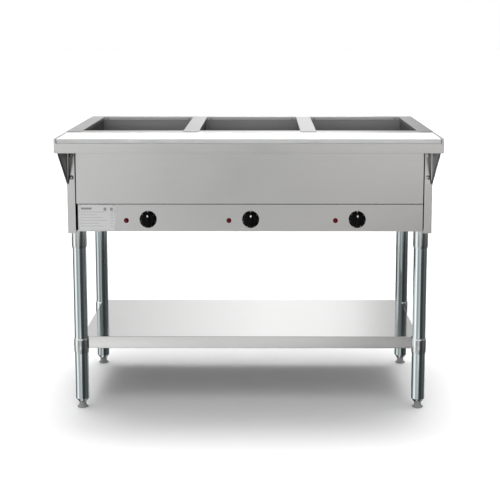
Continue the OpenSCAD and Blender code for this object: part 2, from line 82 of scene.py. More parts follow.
class Shader:
    """One material's node tree, with short calls for the nodes used again and again."""

    def __init__(self, name):
        self.material = bpy.data.materials.new(name)
        self.material.use_nodes = True
        self.tree = self.material.node_tree
        self.surface = self.tree.nodes["Principled BSDF"]
        self.place = self.node("ShaderNodeTexCoord").outputs["Object"]
        self.normal = self.node("ShaderNodeNewGeometry").outputs["Normal"]

    def node(self, kind, **settings):
        made = self.tree.nodes.new(kind)
        for key, value in settings.items():
            setattr(made, key, value)
        return made

    def feed(self, socket, value):
        if isinstance(value, bpy.types.NodeSocket):
            self.tree.links.new(value, socket)
        else:
            socket.default_value = value

    def math(self, operation, *values):
        made = self.node("ShaderNodeMath", operation=operation)
        for socket, value in zip(made.inputs, values):
            self.feed(socket, value)
        return made.outputs[0]

    def times(self, a, b):
        return self.math("MULTIPLY", a, b)

    def plus(self, a, b):
        return self.math("ADD", a, b)

    def minus(self, a, b):
        return self.math("SUBTRACT", a, b)

    def vector(self, operation, *values):
        made = self.node("ShaderNodeVectorMath", operation=operation)
        for socket, value in zip(made.inputs, values):
            self.feed(socket, value)
        return made.outputs[0]

    def stretched(self, scale):
        return self.vector("MULTIPLY", self.place, scale)

    def noise(self, scale, detail=3.0, roughness=0.55):
        """Noise around 0.5, at scale cells per metre along each axis."""
        made = self.node("ShaderNodeTexNoise")
        self.feed(made.inputs["Vector"], self.stretched(scale))
        made.inputs["Scale"].default_value = 1.0
        made.inputs["Detail"].default_value = detail
        made.inputs["Roughness"].default_value = roughness
        return made.outputs["Fac"]

    def cells(self, scale):
        made = self.node("ShaderNodeTexVoronoi")
        self.feed(made.inputs["Vector"], self.stretched(scale))
        made.inputs["Scale"].default_value = 1.0
        return made.outputs

    def spread(self, value, amount, centre=1.0):
        """centre plus amount times value, for a value around 0.5."""
        return self.math("MULTIPLY_ADD", self.minus(value, 0.5), amount, centre)

    def remap(self, value, low, high, to_low=0.0, to_high=1.0, smooth=True):
        made = self.node("ShaderNodeMapRange", clamp=True)
        made.interpolation_type = "SMOOTHSTEP" if smooth else "LINEAR"
        for socket, number in zip(made.inputs[:5], (value, low, high, to_low, to_high)):
            self.feed(socket, number)
        return made.outputs["Result"]

    def between(self, value, begins, full, fades, ends):
        """1 from full to fades, easing to 0 at begins and at ends."""
        return self.times(self.remap(value, begins, full), self.remap(value, ends, fades))

    def mix(self, factor, a, b):
        made = self.node("ShaderNodeMix", data_type="RGBA")
        self.feed(made.inputs["Factor"], factor)
        self.feed(made.inputs[6], a)
        self.feed(made.inputs[7], b)
        return made.outputs[2]

    def tinted(self, colour, value):
        """colour times a grey value."""
        made = self.node("ShaderNodeVectorMath", operation="SCALE")
        self.feed(made.inputs[0], colour)
        self.feed(made.inputs["Scale"], value)
        return made.outputs[0]

    def axis(self, name):
        made = self.node("ShaderNodeSeparateXYZ")
        self.feed(made.inputs[0], self.place)
        return made.outputs[name]

    def facing(self, name):
        """How squarely a face looks along an axis, 0 to 1, whichever way round."""
        made = self.node("ShaderNodeSeparateXYZ")
        self.feed(made.inputs[0], self.normal)
        return self.math("ABSOLUTE", made.outputs[name])

    def edge_wear_and_sheen(self, radius=0.0012):
        """1 on edges that hands and cloths rub, 0 on flat faces; some finishes also lighten them as a
        painted highlight.
        """
        soft = self.node("ShaderNodeBevel", samples=4)
        soft.inputs["Radius"].default_value = radius
        made = self.node("ShaderNodeVectorMath", operation="DOT_PRODUCT")
        self.feed(made.inputs[0], soft.outputs["Normal"])
        self.feed(made.inputs[1], self.normal)
        return self.remap(made.outputs["Value"], 0.97, 0.8)

    def bump(self, height, distance, strength=1.0, under=None):
        made = self.node("ShaderNodeBump")
        made.inputs["Strength"].default_value = strength
        made.inputs["Distance"].default_value = distance
        self.feed(made.inputs["Height"], height)
        if under is not None:
            self.feed(made.inputs["Normal"], under)
        return made.outputs["Normal"]

    def done(self, **inputs):
        for key, value in inputs.items():
            self.feed(self.surface.inputs[key.replace("_", " ")], value)
        return self.material


def grey(value):
    return (value, value, value, 1.0)


def colour(red, green, blue):
    return (red, green, blue, 1.0)


# ---- Finishes ----

def along(grain, lengthwise, across):
    """Noise scale that is low along the grain and high across it."""
    return tuple(lengthwise if part else across for part in grain)


def brushed_steel(name, grain, base=(0.60, 0.60, 0.595), rough=0.18, painted_side=None):
    """Satin stainless sheet: fine grain, broad rolling streaks, faint smudges from wiping.

    painted_side gives an axis, how squarely a face looks along it where a painted tone begins and
    where it is complete, and that tone's base and roughness: painted shade or painted light on those
    faces."""
    s = Shader(name)
    hair = s.noise(along(grain, 9, 1900), 2)
    streak = s.noise(along(grain, 1.3, 95), 3)
    smudge = s.noise((5, 5, 7), 4, 0.6)
    edge = s.edge_wear_and_sheen()
    tone = s.times(s.spread(streak, 0.04), s.spread(smudge, 0.05))
    # Lighter edges: partly rubbed wear, partly a painted highlight along the bends.
    tone = s.plus(tone, s.times(edge, 0.10))
    level = s.plus(s.spread(hair, 0.08, rough), s.spread(smudge, 0.08, 0))
    level = s.minus(level, s.times(edge, 0.05))
    turn = s.vector("ADD", s.vector("CROSS_PRODUCT", s.normal, grain), (0.01, 0.013, 0.017))
    shade = base
    if painted_side:
        look, begins, complete, painted_side_base, painted_side_rough = painted_side
        # Painted tone: faces picked by how squarely they look along the axis get painted shade or
        # painted light
        side = s.remap(s.facing(look), begins, complete)
        shade = s.mix(side, colour(*base), grey(painted_side_base))
        level = s.plus(level, s.times(side, painted_side_rough - rough))
    return s.done(
        Base_Color=s.tinted(shade, tone), Metallic=1.0, Roughness=level,
        Anisotropic=0.45, Tangent=turn, Normal=s.bump(hair, 0.00004, 0.35))


def galvanised(name, base, rough, spangle=260, tint=0.10):
    """Zinc-coated steel: small crystals that differ in tone and gloss."""
    s = Shader(name)
    cell = s.cells((spangle, spangle, spangle * 0.6))["Color"]
    cloud = s.noise((9, 9, 9), 4)
    tone = s.times(s.spread(cell, tint), s.spread(cloud, 0.12))
    level = s.plus(s.spread(cell, 0.07, rough), s.spread(cloud, 0.10, 0))
    grit = s.noise((1400, 1400, 1400), 2)
    return s.done(
        Base_Color=s.tinted((*base,), tone), Metallic=1.0, Roughness=level,
        Normal=s.bump(grit, 0.00003, 0.3))


def bright_tube(name, shade=1.0):
    """Bright zinc-plated leg tube: mirror-like, drawn lengthwise, slightly cool.

    shade scales its tone; the back legs' darker tubes use it as painted shade."""
    s = Shader(name)
    drawn = s.noise((420, 420, 3), 3)
    cloud = s.noise((14, 14, 5), 4, 0.6)
    fleck = s.cells((900, 900, 500))["Distance"]
    tone = s.times(s.spread(drawn, 0.03, shade), s.spread(cloud, 0.05))
    level = s.plus(s.spread(cloud, 0.04, 0.075), s.spread(fleck, 0.02, 0))
    return s.done(
        Base_Color=s.tinted((0.585, 0.655, 0.665), tone), Metallic=1.0, Roughness=level,
        Normal=s.bump(drawn, 0.000006, 0.1))


def cast_metal(name):
    """Tumbled and plated casting: soft pits, bright rubbed edges."""
    s = Shader(name)
    pit = s.noise((520, 520, 520), 4, 0.6)
    cloud = s.noise((30, 30, 30), 3)
    edge = s.edge_wear_and_sheen(0.0015)
    tone = s.plus(s.times(s.spread(cloud, 0.10), s.spread(pit, 0.06)), s.times(edge, 0.16))
    return s.done(
        Base_Color=s.tinted((0.585, 0.615, 0.615), tone), Metallic=1.0,
        Roughness=s.minus(s.spread(pit, 0.04, 0.085), s.times(edge, 0.03)),
        Normal=s.bump(pit, 0.00001, 0.2))


def well_steel(name, top, depth):
    """Dull liner sheet: rolled streaks, with painted light and shade: a band painted bright under the
    rim, blotchy painted shade towards the floor and side walls painted darker as painted shade."""
    s = Shader(name)
    height = s.remap(s.axis("Z"), top - depth, top, smooth=False)
    # Painted light: a bright band just under the rim
    rim_light_band = s.remap(s.axis("Z"), top - 0.050, top - 0.005)
    # Painted shade: walls that face sideways, along X
    side_wall_shade = s.remap(s.facing("X"), 0.3, 0.9)
    blot = s.noise((14, 14, 22), 5, 0.62)
    scale = s.noise((120, 120, 120), 4, 0.65)
    line = s.noise((1.5, 1.5, 160), 3)
    # Painted shade: blotchy darkening towards the floor of the well
    deep_shade = s.remap(s.plus(s.minus(blot, height), 0.30), 0.1, 0.7)
    tone = s.times(s.spread(line, 0.12), s.spread(scale, 0.16))
    base = s.mix(deep_shade, colour(0.50, 0.50, 0.50), colour(0.33, 0.324, 0.315))
    base = s.mix(rim_light_band, base, colour(0.63, 0.63, 0.63))
    base = s.mix(side_wall_shade, base, colour(0.18, 0.18, 0.18))
    return s.done(
        Base_Color=s.tinted(base, tone), Metallic=1.0,
        Roughness=s.plus(s.spread(scale, 0.14, 0.50), s.times(deep_shade, 0.10)),
        Normal=s.bump(scale, 0.00008, 0.4))


def polished_steel(name):
    s = Shader(name)
    scuff = s.noise((900, 900, 900), 3)
    cloud = s.noise((160, 160, 160), 2)
    edge = s.edge_wear_and_sheen(0.0006)
    return s.done(
        Base_Color=s.tinted((0.46, 0.46, 0.455), s.plus(s.spread(cloud, 0.14), s.times(edge, 0.12))),
        Metallic=1.0, Roughness=s.spread(scuff, 0.16, 0.17), Normal=s.bump(scuff, 0.00002, 0.3))


def dark_oxide(name, base=(0.035, 0.035, 0.037), rough=0.42):
    """Blackened or heat-scaled metal with bare metal just showing on the edges."""
    s = Shader(name)
    grain = s.noise((700, 700, 700), 4)
    blot = s.noise((38, 38, 38), 4, 0.6)
    edge = s.edge_wear_and_sheen(0.0006)
    shade = s.mix(s.times(edge, 0.5), s.tinted((*base,), s.spread(blot, 0.6)), grey(0.3))
    return s.done(
        Base_Color=shade, Metallic=0.75, Roughness=s.spread(grain, 0.25, rough),
        Normal=s.bump(grain, 0.00006, 0.4))


def moulded(name, base, rough, texture=900, depth=0.00003, shine=0.5):
    """Moulded plastic: fine surface texture, uneven gloss, paler edges that are partly rubbed and partly
    a painted highlight.
    """
    s = Shader(name)
    grain = s.noise((texture, texture, texture), 3)
    cloud = s.noise((45, 45, 45), 3)
    flow = s.noise((12, 12, 160), 2)
    edge = s.edge_wear_and_sheen(0.0008)
    tone = s.times(s.spread(cloud, 0.16), s.spread(flow, 0.08))
    # Paler edges: partly rubbed wear, partly a painted highlight.
    tone = s.plus(tone, s.times(edge, 0.25))
    return s.done(
        Base_Color=s.tinted((*base,), tone), Specular_IOR_Level=shine,
        Roughness=s.plus(s.spread(cloud, 0.14, rough), s.spread(grain, 0.08, 0)),
        Normal=s.bump(grain, depth, 0.5))


def board_plastic(name, underside):
    """White polyethylene board: milled texture, knife marks, upright sides painted greyer as painted
    shade and darker still near the bottom, a painted contact shadow where they meet the tray."""
    s = Shader(name)
    grain = s.noise((700, 700, 700), 3)
    cloud = s.noise((7, 9, 9), 4, 0.6)
    cut_a = s.remap(s.noise((26, 900, 26), 2, 0.4), 0.66, 0.72)
    cut_b = s.remap(s.noise((700, 40, 26), 2, 0.4), 0.68, 0.74)
    cuts = s.math("MAXIMUM", cut_a, cut_b)
    tone = s.times(s.spread(cloud, 0.04), s.math("MULTIPLY_ADD", cuts, -0.05, 1.0))
    # Painted shade: faces that don't look upwards
    side_shade = s.remap(s.facing("Z"), 0.6, 0.2)
    # Painted contact shadow: the last few millimetres above the underside
    contact_shade = s.remap(s.axis("Z"), underside + 0.0028, underside + 0.0008)
    tone = s.times(tone, s.math("MULTIPLY_ADD", side_shade, -0.42, 1.0))
    tone = s.times(tone, s.math("MULTIPLY_ADD", contact_shade, -0.35, 1.0))
    rough = s.plus(s.spread(cloud, 0.12, 0.44), s.times(cuts, 0.12))
    under = s.bump(grain, 0.00003, 0.5)
    return s.done(
        Base_Color=s.tinted((0.86, 0.865, 0.86), tone), Roughness=rough,
        Subsurface_Weight=0.12, Subsurface_Scale=0.004,
        Normal=s.bump(cuts, -0.0001, 0.4, under))


def red_lens(name):
    """Clear red lens with fine rings moulded inside it."""
    s = Shader(name)
    ring = s.noise((1200, 200, 1200), 2)
    cloud = s.noise((300, 300, 300), 2)
    return s.done(
        Base_Color=s.tinted((0.115, 0.002, 0.007), s.spread(cloud, 0.5)),
        Roughness=s.spread(ring, 0.12, 0.16), IOR=1.49, Specular_IOR_Level=0.2,
        Normal=s.bump(ring, 0.00008, 0.4))


def mineral_wool(name):
    s = Shader(name)
    fibre = s.noise((60, 900, 420), 5, 0.7)
    tuft = s.noise((90, 90, 90), 4)
    tone = s.times(s.spread(fibre, 0.5), s.spread(tuft, 0.35))
    return s.done(
        Base_Color=s.tinted((0.70, 0.63, 0.40), tone), Roughness=0.95, Sheen_Weight=0.3,
        Normal=s.bump(fibre, 0.0012, 0.8))


def silicone_wire(name):
    s = Shader(name)
    braid = s.cells((900, 900, 900))["Distance"]
    cloud = s.noise((25, 25, 25), 2)
    return s.done(
        Base_Color=s.tinted((0.52, 0.17, 0.05), s.times(s.spread(braid, 0.35), s.spread(cloud, 0.2))),
        Roughness=s.spread(braid, 0.2, 0.6), Normal=s.bump(braid, 0.0002, 0.5))


def ruled_foil(name, low, high):
    """Silver-grey foil label: a heading bar, two squares and ruled lines of uneven length."""
    s = Shader(name)
    across = s.remap(s.axis("X"), low.x, high.x, smooth=False)
    up = s.remap(s.axis("Z"), low.z, high.z, smooth=False)
    rows = 9
    row = s.times(up, rows)
    line = s.between(s.math("FRACT", row), 0.30, 0.38, 0.58, 0.66)
    length = s.math("FRACT", s.times(s.math("FLOOR", row), 0.618))
    ragged = s.minus(across, s.times(length, 0.35))
    strokes = s.times(s.remap(across, 0.05, 0.06), s.remap(ragged, 0.50, 0.45))
    dashes = s.between(across, 0.86, 0.88, 0.95, 0.97)
    lines = s.times(line, s.between(up, 0.06, 0.08, 0.78, 0.80))
    lines = s.times(lines, s.math("MAXIMUM", strokes, dashes))
    bar = s.times(s.between(up, 0.80, 0.82, 0.88, 0.90), s.between(across, 0.05, 0.06, 0.34, 0.36))
    squares = s.math("MAXIMUM", s.between(across, 0.68, 0.69, 0.76, 0.77),
                     s.between(across, 0.86, 0.87, 0.94, 0.95))
    squares = s.times(squares, s.between(up, 0.76, 0.78, 0.88, 0.90))
    heading = s.math("MAXIMUM", bar, squares)
    print_tone = s.math("MAXIMUM", s.times(lines, 0.26), s.times(heading, 0.7))
    speck = s.noise((500, 500, 500), 3)
    foil = s.tinted((0.66, 0.66, 0.665), s.spread(speck, 0.06))
    return s.done(
        Base_Color=s.mix(print_tone, foil, grey(0.12)), Metallic=0.12,
        Roughness=s.spread(speck, 0.1, 0.45), Normal=s.bump(speck, 0.00003, 0.4))


def pale_floor(name):
    s = Shader(name)
    cloud = s.noise((0.7, 0.7, 0.7), 3)
    return s.done(Base_Color=s.tinted((0.84, 0.84, 0.84), s.spread(cloud, 0.01)),
                  Roughness=0.7, Specular_IOR_Level=0.1)


# ---- Mesh helpers ----

def is_rim(face):
    """True for the narrow cut edge of a sheet."""
    return 2 * face.calc_area() / face.calc_perimeter() < RIM_WIDTH


def mark_edges(bm, softened):
    """Gives folds, inside corners and cut edges their own share of the bend radius.

    Corners that get no radius are left sharp."""
    weight = bm.edges.layers.float.new("bevel_weight_edge")
    for edge in bm.edges:
        if len(edge.link_faces) != 2 or edge.calc_face_angle(0) < EDGE_ANGLE:
            continue
        edge.smooth = softened
        if any(is_rim(face) for face in edge.link_faces):
            edge[weight] = RIM_SHARE
        else:
            edge[weight] = 1.0 if edge.is_convex else INSIDE_SHARE


def piece(name, bm, body, material, radius=FOLD_R, stands_for=(), segments=3):
    """Turns a mesh under construction into a finished piece that rides on a body."""
    bmesh.ops.recalc_face_normals(bm, faces=bm.faces)
    mark_edges(bm, radius > 0)
    mesh = bpy.data.meshes.new(name)
    bm.to_mesh(mesh)
    bm.free()
    for face in mesh.polygons:
        face.use_smooth = True
    mesh.materials.append(material)
    made = bpy.data.objects.new(name, mesh)
    bpy.context.scene.collection.objects.link(made)
    if radius > 0:
        bend = made.modifiers.new("bend", "BEVEL")
        bend.limit_method = "WEIGHT"
        bend.width = radius
        bend.segments = segments
        bend.miter_outer = "MITER_ARC"
        level = made.modifiers.new("level", "WEIGHTED_NORMAL")
        level.keep_sharp = False
    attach(made, body)
    if stands_for:
        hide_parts(*stands_for)
    return made


def cad_shape(node):
    """A CAD node's surface with its triangles merged back into flat faces."""
    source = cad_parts[node].data
    mesh = bpy.data.meshes.new("shape")
    mesh.from_pydata([v.co.copy() for v in source.vertices], [],
                     [tuple(p.vertices) for p in source.polygons])
    bm = bmesh.new()
    bm.from_mesh(mesh)
    bpy.data.meshes.remove(mesh)
    bmesh.ops.remove_doubles(bm, verts=bm.verts, dist=0.000002)
    bmesh.ops.dissolve_limit(bm, angle_limit=math.radians(0.4), verts=bm.verts,
                             edges=bm.edges, use_dissolve_boundaries=False)
    return bm


def bent(bm, radius):
    """Rounds a folded piece's long upright inside corners to a wide bend."""
    bmesh.ops.recalc_face_normals(bm, faces=bm.faces)
    corners = [edge for edge in bm.edges if len(edge.link_faces) == 2 and not edge.is_convex
               and abs(edge.verts[0].co.z - edge.verts[1].co.z) > BRACKET_CORNER_L
               and edge.calc_face_angle(0) > math.radians(60)
               and abs((edge.verts[0].co - edge.verts[1].co).normalized().z) > 0.99]
    bmesh.ops.bevel(bm, geom=corners, offset=radius, segments=5, profile=0.5,
                    affect="EDGES", clamp_overlap=False)
    return bm


def formed(node, material, body="table", radius=FOLD_R):
    """The CAD node's shape with real bend radii and eased edges."""
    return piece(node + "_formed", cad_shape(node), body, material, radius, (node,))


def lathe(profile, steps=72):
    """Solid or ring turned about Z from a closed outline of (radius, height) points."""
    bm = bmesh.new()
    rings = []
    for radius, height in profile:
        if radius == 0:
            rings.append([bm.verts.new((0, 0, height))])
            continue
        rings.append([bm.verts.new((radius * math.cos(a), radius * math.sin(a), height))
                      for a in (math.tau * i / steps for i in range(steps))])
    pairs = list(zip(rings, rings[1:]))
    if len(rings[0]) > 1 or len(rings[-1]) > 1:
        pairs.append((rings[-1], rings[0]))
    for low, high in pairs:
        for i in range(steps):
            j = (i + 1) % steps
            corners = [low[i % len(low)], low[j % len(low)],
                       high[j % len(high)], high[i % len(high)]]
            corners = [v for k, v in enumerate(corners) if v not in corners[:k]]
            if len(corners) > 2:
                bm.faces.new(corners)
    return bm


def loft(outlines):
    """Solid skinned over a stack of outlines with the same number of points."""
    bm = bmesh.new()
    rings = [[bm.verts.new(p) for p in outline] for outline in outlines]
    for low, high in zip(rings, rings[1:]):
        for i in range(len(low)):
            j = (i + 1) % len(low)
            bm.faces.new((low[i], low[j], high[j], high[i]))
    bm.faces.new(rings[0])
    bm.faces.new(rings[-1])
    return bm


def brick(low, high):
    bm = bmesh.new()
    size, middle = Vector(high) - Vector(low), (Vector(high) + Vector(low)) / 2
    bmesh.ops.create_cube(bm, size=1.0, matrix=Matrix.LocRotScale(middle, None, size))
    return bm


def moved(bm, matrix):
    bmesh.ops.transform(bm, matrix=matrix, verts=bm.verts)
    return bm


def joined(*parts):
    """Several closed shapes in one mesh."""
    whole = bmesh.new()
    for part in parts:
        mesh = bpy.data.meshes.new("part")
        part.to_mesh(mesh)
        part.free()
        whole.from_mesh(mesh)
        bpy.data.meshes.remove(mesh)
    return whole


def cut(body, tool):
    """The first shape with the second one taken out of it."""
    objects = []
    for bm in (body, tool):
        bmesh.ops.recalc_face_normals(bm, faces=bm.faces)
        mesh = bpy.data.meshes.new("cutting")
        bm.to_mesh(mesh)
        bm.free()
        objects.append(bpy.data.objects.new("cutting", mesh))
        bpy.context.scene.collection.objects.link(objects[-1])
    step = objects[0].modifiers.new("cut", "BOOLEAN")
    step.operation, step.solver, step.object = "DIFFERENCE", "EXACT", objects[1]
    bpy.context.view_layer.update()
    evaluated = objects[0].evaluated_get(bpy.context.evaluated_depsgraph_get())
    result = bmesh.new()
    result.from_mesh(evaluated.to_mesh())
    evaluated.to_mesh_clear()
    for item in objects:
        bpy.data.objects.remove(item)
    return result


def middle_of(node):
    low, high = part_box(node)
    return (low + high) / 2


def facing_front(x, y, z):
    """Turns a shape made about Z so that its top points to -Y, and puts it in place."""
    return Matrix.Translation((x, y, z)) @ Matrix.Rotation(math.radians(90), 4, "X")


# ---- Sheet metal ----

def build_sheet_metal(zinc):
    """Each sheet's grain runs along its length; the brackets' webs and folds and the deck strips and
    dividers carry painted shade, the back rail's front and back faces painted light.
    """
    lengthwise = brushed_steel("stainless_lengthwise", ALONG_X)
    crosswise = brushed_steel("stainless_crosswise", ALONG_Y, rough=0.22)
    # Deck side strips and dividers: the same steel with a darker base, painted shade.
    strip = brushed_steel("stainless_strip_painted_shade", ALONG_Y, (0.37, 0.37, 0.37), 0.22)
    glossy = brushed_steel("stainless_shelf", ALONG_X, (0.72, 0.72, 0.715), 0.10)
    # Bracket faces that don't look squarely to the front or back, web and fold, get a dark painted tone:
    # painted shade.
    bracket = brushed_steel("stainless_bracket", ALONG_Z, rough=0.14, painted_side=("Y", 0.90, 0.76, 0.20, 0.40))
    # Back rail faces that look squarely to the front or back get a lighter painted tone: painted light.
    rail = brushed_steel("stainless_rail", ALONG_X, painted_side=("Y", 0.5, 0.8, 0.85, 0.50))
    for finish, nodes in (
            (lengthwise, ("back_panel",)),
            (glossy, ("undershelf",)),
            (crosswise, ("side_panel_left", "side_panel_right"))):
        for node in nodes:
            formed(node, finish)
    for side in SIDES:
        node = "shelf_bracket_" + side
        piece(node + "_formed", bent(cad_shape(node), BRACKET_BEND_R), "table",
              bracket, stands_for=(node,))
    for finish, nodes in (
            (lengthwise, ("deck_front_rail", "shelf_tray", "front_panel", "control_panel")),
            (rail, ("deck_back_rail",)),
            (strip, ("deck_side_strip_left", "deck_side_strip_right",
                     "deck_divider_left", "deck_divider_right"))):
        for node in nodes:
            formed(node, finish, radius=DECK_FOLD_R)
    for node in ("bottom_panel", "shelf_stiffener", "divider_channels"):
        formed(node, zinc)


def build_wells(liner):
    for well in WELLS:
        formed("well_liner_" + well, liner, radius=DECK_FOLD_R)


# ---- Legs ----

def build_legs(tubes, cast, plastic):
    for row in ROWS:
        for side in SIDES:
            tag = f"{row}_{side}"
            leg_tube(tag, tubes[row])
            formed("leg_socket_" + tag, cast, radius=CAST_R)
            formed("foot_" + tag, plastic, "leveller_" + tag, CAST_R)
    formed("shelf_collars", cast, radius=CAST_R)
    formed("leg_inserts", cast, radius=CAST_R)


def leg_tube(tag, material):
    low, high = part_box("leg_" + tag)
    middle = (low + high) / 2
    outer = (high.x - low.x) / 2
    inner = outer - TUBE_WALL
    ease = 0.0004
    outline = [
        (inner, low.z), (outer - ease, low.z), (outer, low.z + ease),
        (outer, high.z - ease), (outer - ease, high.z), (inner, high.z)]
    bm = moved(lathe(outline, 96), Matrix.Translation((middle.x, middle.y, 0)))
    piece("leg_tube_" + tag, bm, "table", material, 0.0003, ("leg_" + tag,), 1)


def hex_key_screw(radius, length):
    """Headless screw along +Z with a hexagon socket in its outer end."""
    ease = 0.0006
    body = lathe([(0, 0), (radius - ease, 0), (radius, ease),
                  (radius, length - ease), (radius - ease, length), (0, length)], 32)
    key = lathe([(0, length - 0.0014), (radius * 0.55, length - 0.0014),
                 (radius * 0.55, length + 0.001), (0, length + 0.001)], 6)
    return cut(body, key)


def build_set_screws(material):
    """The sockets' screws face inwards and the shelf collars' screws face outwards."""
    parts = []
    for row in ROWS:
        for side, way in (("left", -1), ("right", 1)):
            leg = middle_of(f"leg_{row}_{side}")
            socket_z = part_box(f"leg_socket_{row}_{side}")[0].z + SET_SCREW_UP
            collar_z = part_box("shelf_collars")[0].z + SET_SCREW_UP
            for z, turn in ((socket_z, -way), (collar_z, way)):
                place = Matrix.Translation((leg.x + turn * SET_SCREW_AT, leg.y, z)) \
                    @ Matrix.Rotation(turn * math.radians(90), 4, "Y")
                parts.append(moved(hex_key_screw(SET_SCREW_R, SET_SCREW_L), place))
    piece("leg_hex_screws", joined(*parts), "table", material, 0,
          ("leg_set_screws",))


# ---- Fasteners, lamps and cord entry ----

def round_head_screw(head_r, shank_r, shank_l):
    """Domed head with a cross recess on +Z, shank down -Z."""
    points = 7
    height = head_r * 0.62
    dome = [(head_r * math.cos(a), height * math.sin(a) + 0.0002)
            for a in (math.radians(90) * i / points for i in range(points))]
    outline = [(0, -shank_l), (shank_r, -shank_l), (shank_r, 0), (head_r - 0.0003, 0)] \
        + dome + [(0, height + 0.0002)]
    head = lathe(outline, 40)
    arm, blade, deep = head_r * 0.52, head_r * 0.13, height * 0.45
    top = height + 0.002
    for bar in (brick((-arm, -blade, deep), (arm, blade, top)),
                brick((-blade, -arm, deep), (blade, arm, top))):
        head = cut(head, bar)
    return head


def screw_places(node):
    """The boxes of a node's separate solids, found by grouping its vertices, left to right."""
    bm = cad_shape(node)
    ungrouped, places = set(bm.verts), []
    while ungrouped:
        group, stack = [], [ungrouped.pop()]
        while stack:
            vert = stack.pop()
            group.append(vert.co.copy())
            for edge in vert.link_edges:
                other = edge.other_vert(vert)
                if other in ungrouped:
                    ungrouped.remove(other)
                    stack.append(other)
        low = Vector(map(min, zip(*group)))
        high = Vector(map(max, zip(*group)))
        places.append((low, high))
    bm.free()
    return sorted(places, key=lambda box: [round(value, 4) for value in box[0]])


def build_screws(material):
    """The brackets' screws face the front (way -1) and the panels' screws the back (way 1)."""
    for node, way in (("bracket_screws", -1), ("panel_screws", 1)):
        parts = []
        for i, (low, high) in enumerate(screw_places(node)):
            head_r = (high.x - low.x) / 2
            middle = (low + high) / 2
            head_l = head_r * 0.59
            seat = low.y + head_l if way < 0 else high.y - head_l
            shank = (high.y - seat) if way < 0 else (seat - low.y)
            turn = Matrix.Rotation(math.radians(-90 * way), 4, "X") \
                @ Matrix.Rotation(math.radians(17 + 41 * i), 4, "Z")
            screw = round_head_screw(head_r, head_r * 0.42, shank)
            parts.append(moved(screw, Matrix.Translation((middle.x, seat, middle.z)) @ turn))
        piece(node + "_crossed", joined(*parts), "table", material, 0, (node,))


def build_lamps(material):
    for well in WELLS:
        low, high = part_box("indicator_lamp_" + well)
        middle = (low + high) / 2
        rim = (high.x - low.x) / 2
        face = low.y + 0.006
        deep = high.y - face
        neck = 0.005
        outline = [
            (0, -deep), (neck, -deep), (neck, 0), (rim, 0), (rim, 0.0016),
            (rim - 0.0004, 0.0024), (rim - 0.0012, 0.0029), (neck + 0.0004, 0.0031),
            (neck, 0.0036), (neck * 0.93, 0.0046), (neck * 0.72, 0.0055),
            (neck * 0.38, 0.0059), (0, 0.0060)]
        bm = moved(lathe(outline, 48), facing_front(middle.x, face, middle.z))
        piece("lamp_lens_" + well, bm, "table", material, 0.0003,
              ("indicator_lamp_" + well,), 2)


# ---- Knobs ----

def grip_outline(half_l, half_w, waist, height, count=40):
    """Long rounded outline, pulled in at its middle where fingers hold it."""
    points = []
    for i in range(count):
        a = math.tau * i / count
        x, y = math.cos(a), math.sin(a)
        square = (abs(x) ** 4 + abs(y) ** 4) ** -0.25
        x, y = x * square, y * square
        pinch = 1 - waist * (1 - y * y)
        points.append((half_w * x * pinch, half_l * y, height))
    return points


def knob_body(skirt_r):
    """Skirt with a stepped hub, made about Z with its back at zero."""
    hub = skirt_r - 0.0055
    outline = [
        (0.0031, 0), (skirt_r - 0.0006, 0), (skirt_r, 0.0006), (skirt_r, 0.0022),
        (skirt_r - 0.0005, 0.0031), (skirt_r - 0.0014, 0.0037),
        (hub + 0.0012, 0.0046), (hub + 0.0004, 0.0052), (hub, 0.0062),
        (hub - 0.0012, 0.0100), (hub - 0.0019, 0.0113), (hub - 0.0032, 0.0119),
        (0.0031, 0.0122)]
    return lathe(outline, 96)


def knob_grip(skirt_r, full_l):
    half_l, half_w = skirt_r - 0.0056, 0.0062
    stack = [(0.0100, 1.00, 1.00, 0.20), (0.0170, 0.985, 0.95, 0.24),
             (full_l - 0.0035, 0.965, 0.90, 0.27), (full_l - 0.0014, 0.95, 0.86, 0.27),
             (full_l - 0.0004, 0.92, 0.78, 0.27), (full_l, 0.87, 0.66, 0.27)]
    return loft([grip_outline(half_l * a, half_w * b, waist, h) for h, a, b, waist in stack])


def dial_marks(skirt_r):
    """Pad-printed ticks round the skirt, longer towards HIGH, and the OFF mark."""
    parts = []
    for i, turn in enumerate(range(50, 311, 52)):
        long = 0.0012 + 0.0002 * i
        tick = brick((-0.00035, skirt_r - 0.0040, 0.0038), (0.00035, skirt_r - 0.0040 + long, 0.0046))
        parts.append(moved(tick, Matrix.Rotation(math.radians(-turn), 4, "Z")))
    notch = brick((-0.0013, skirt_r - 0.0042, 0.0030), (0.0013, skirt_r - 0.0001, 0.0040))
    return joined(notch, *parts)


def pointer_mark(full_l):
    """Drop-shaped white pointer on the end of the grip, with its point towards the middle."""
    near, far, half_w, steps = 0.0098, 0.0168, 0.0026, 20
    centre = far - half_w
    outline = [(0.0, near)]
    for i in range(steps + 1):
        a = math.radians(-30 + 240 * i / steps)
        outline.append((half_w * math.cos(a), centre + half_w * math.sin(a)))
    return loft([[(x, y, z) for x, y in outline] for z in (full_l - 0.001, full_l + 0.0002)])


def build_knobs(phenolic, paint):
    for well in WELLS:
        node, body = "knob_" + well, "dial_" + well
        low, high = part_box(node)
        middle = (low + high) / 2
        skirt_r, full_l = (high.z - low.z) / 2, high.y - low.y
        place = facing_front(middle.x, high.y, middle.z)
        piece(f"knob_{well}_skirt", moved(knob_body(skirt_r), place), body,
              phenolic, 0.0003, (node,), 2)
        piece(f"knob_{well}_grip", moved(knob_grip(skirt_r, full_l), place), body,
              phenolic, 0, (node,))
        marks = joined(pointer_mark(full_l), dial_marks(skirt_r))
        piece(f"knob_{well}_marks", moved(marks, place), body, paint, 0, (node,))


# ---- Board and label ----

def build_board(material):
    formed("cutting_board", material, "board", BOARD_R)


